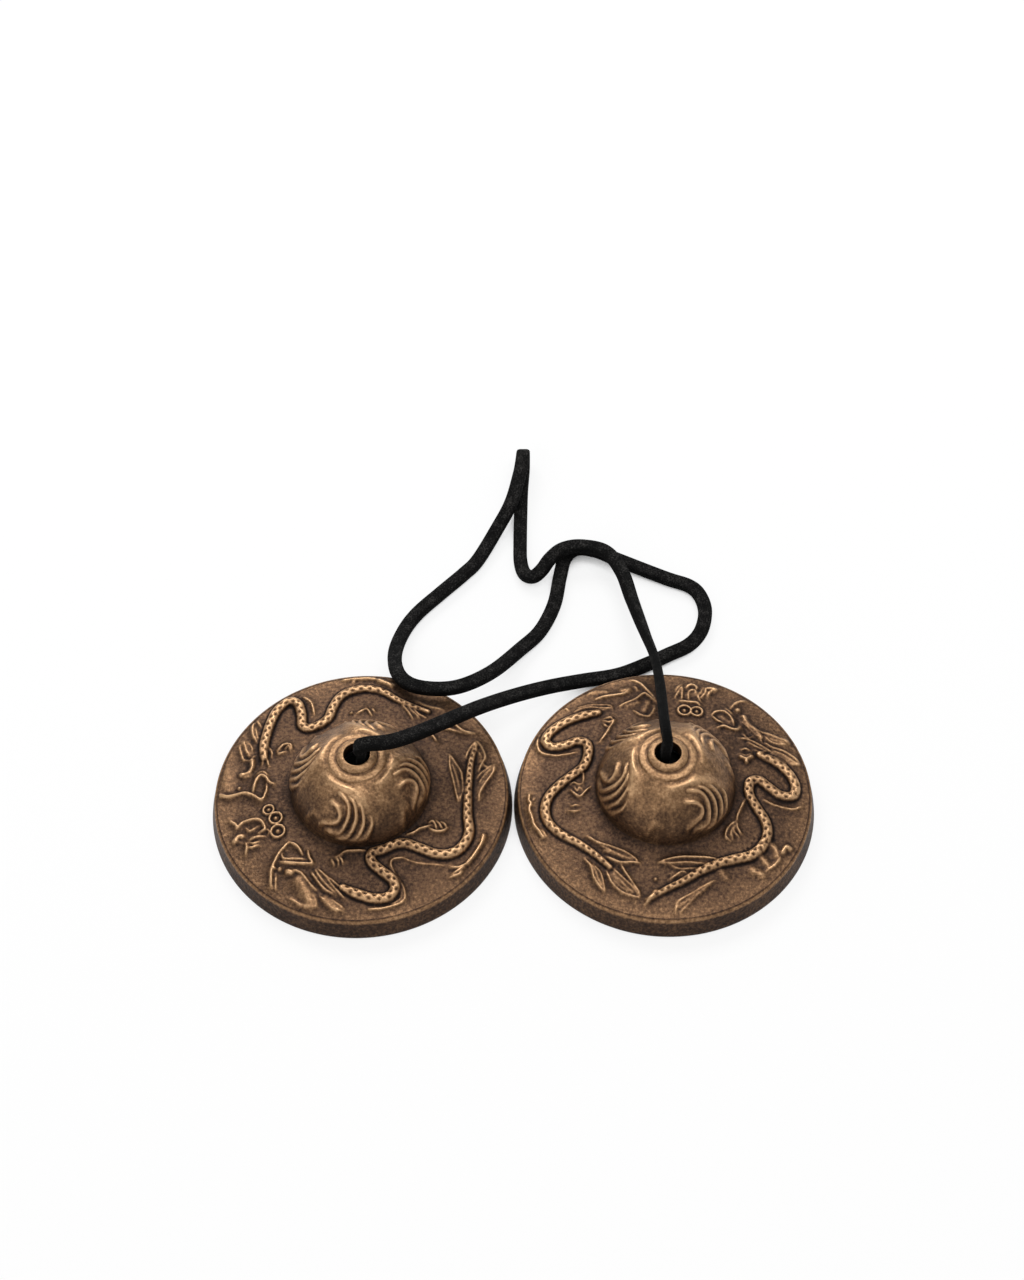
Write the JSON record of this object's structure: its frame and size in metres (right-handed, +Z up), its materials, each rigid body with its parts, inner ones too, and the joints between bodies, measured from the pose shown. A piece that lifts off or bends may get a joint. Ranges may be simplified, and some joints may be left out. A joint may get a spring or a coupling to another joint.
{
  "type": "tingsha",
  "caption": "Small thick-rimmed bronze hand cymbals with dragons in relief, joined by a black leather lace that is knotted inside their hollow bosses.",
  "frame": {"origin": "on the table, halfway between the cymbals' axes", "axes": "+X from the left cymbal's axis to the right one's, +Y away from the pictured side, +Z up through the bosses"},
  "size_m": [0.1404, 0.1431, 0.0277],
  "materials": {
    "bronze": "antiqued dark brown, rubbed bright on the raised edges",
    "black_leather": "matt suede, cut edges darker"
  },
  "bodies": {
    "lace": {"cord": "black_leather"},
    "left_knot": {"knot_left": "black_leather"},
    "left_cymbal": {"cymbal_left": "bronze"},
    "right_knot": {"knot_right": "black_leather"},
    "right_cymbal": {"cymbal_right": "bronze"}
  },
  "joints": [
    {"name": "left_cymbal_tilt", "type": "hinge", "parent": "lace", "child": "left_knot", "pos_m": [-0.03518, 0, 0.02275], "axis": [1, 0, 0], "range_deg": [-60, 60], "deforming": ["cord"]},
    {"name": "left_cymbal_spin", "type": "hinge", "parent": "left_knot", "child": "left_cymbal", "pos_m": [-0.03518, 0, 0.02275], "axis": [0, 0, 1], "continuous": true},
    {"name": "right_cymbal_tilt", "type": "hinge", "parent": "lace", "child": "right_knot", "pos_m": [0.03518, 0, 0.02275], "axis": [1, 0, 0], "range_deg": [-60, 60], "deforming": ["cord"]},
    {"name": "right_cymbal_spin", "type": "hinge", "parent": "right_knot", "child": "right_cymbal", "pos_m": [0.03518, 0, 0.02275], "axis": [0, 0, 1], "continuous": true}
  ]
}
